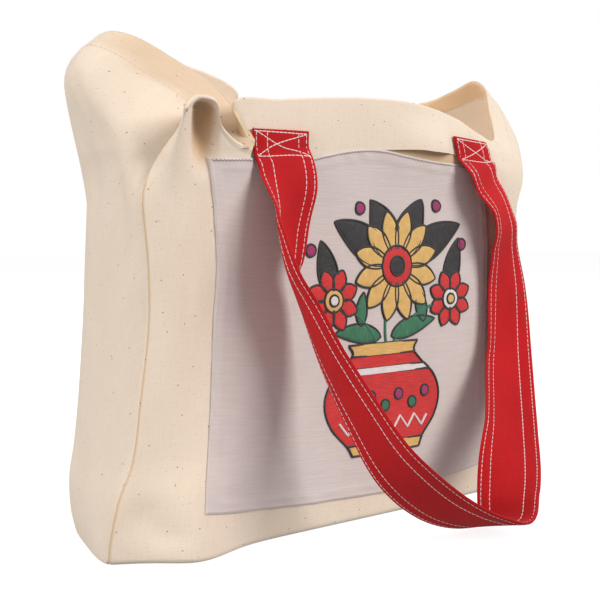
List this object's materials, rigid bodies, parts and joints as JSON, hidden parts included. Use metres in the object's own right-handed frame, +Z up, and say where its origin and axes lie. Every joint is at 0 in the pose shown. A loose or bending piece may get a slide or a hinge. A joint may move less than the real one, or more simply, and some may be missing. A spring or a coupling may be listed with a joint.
{
  "type": "tote bag",
  "caption": "Soft open-topped cotton tote bag with a side-and-base gusset, a linen patch on the front and flat cotton handles hanging down.",
  "frame": {"origin": "middle of the base, on the surface that the bag stands on", "axes": "+X to the right along the front, +Y from the front to the back, +Z up through the mouth"},
  "size_m": [0.4305, 0.3035, 0.3749],
  "materials": {
    "calico": "plain woven natural cotton with seed flecks",
    "linen": "smooth pale lilac-grey linen with slubs",
    "red_cotton": "red twill cotton, topstitched",
    "white_thread": "off-white sewing thread",
    "embroidery": "satin-stitched coloured thread"
  },
  "bodies": {
    "root": {"front_panel": "calico", "back_panel": "calico", "gusset": "calico", "pocket_patch": "linen", "front_strap": "red_cotton", "back_strap": "red_cotton"}
  },
  "joints": []
}
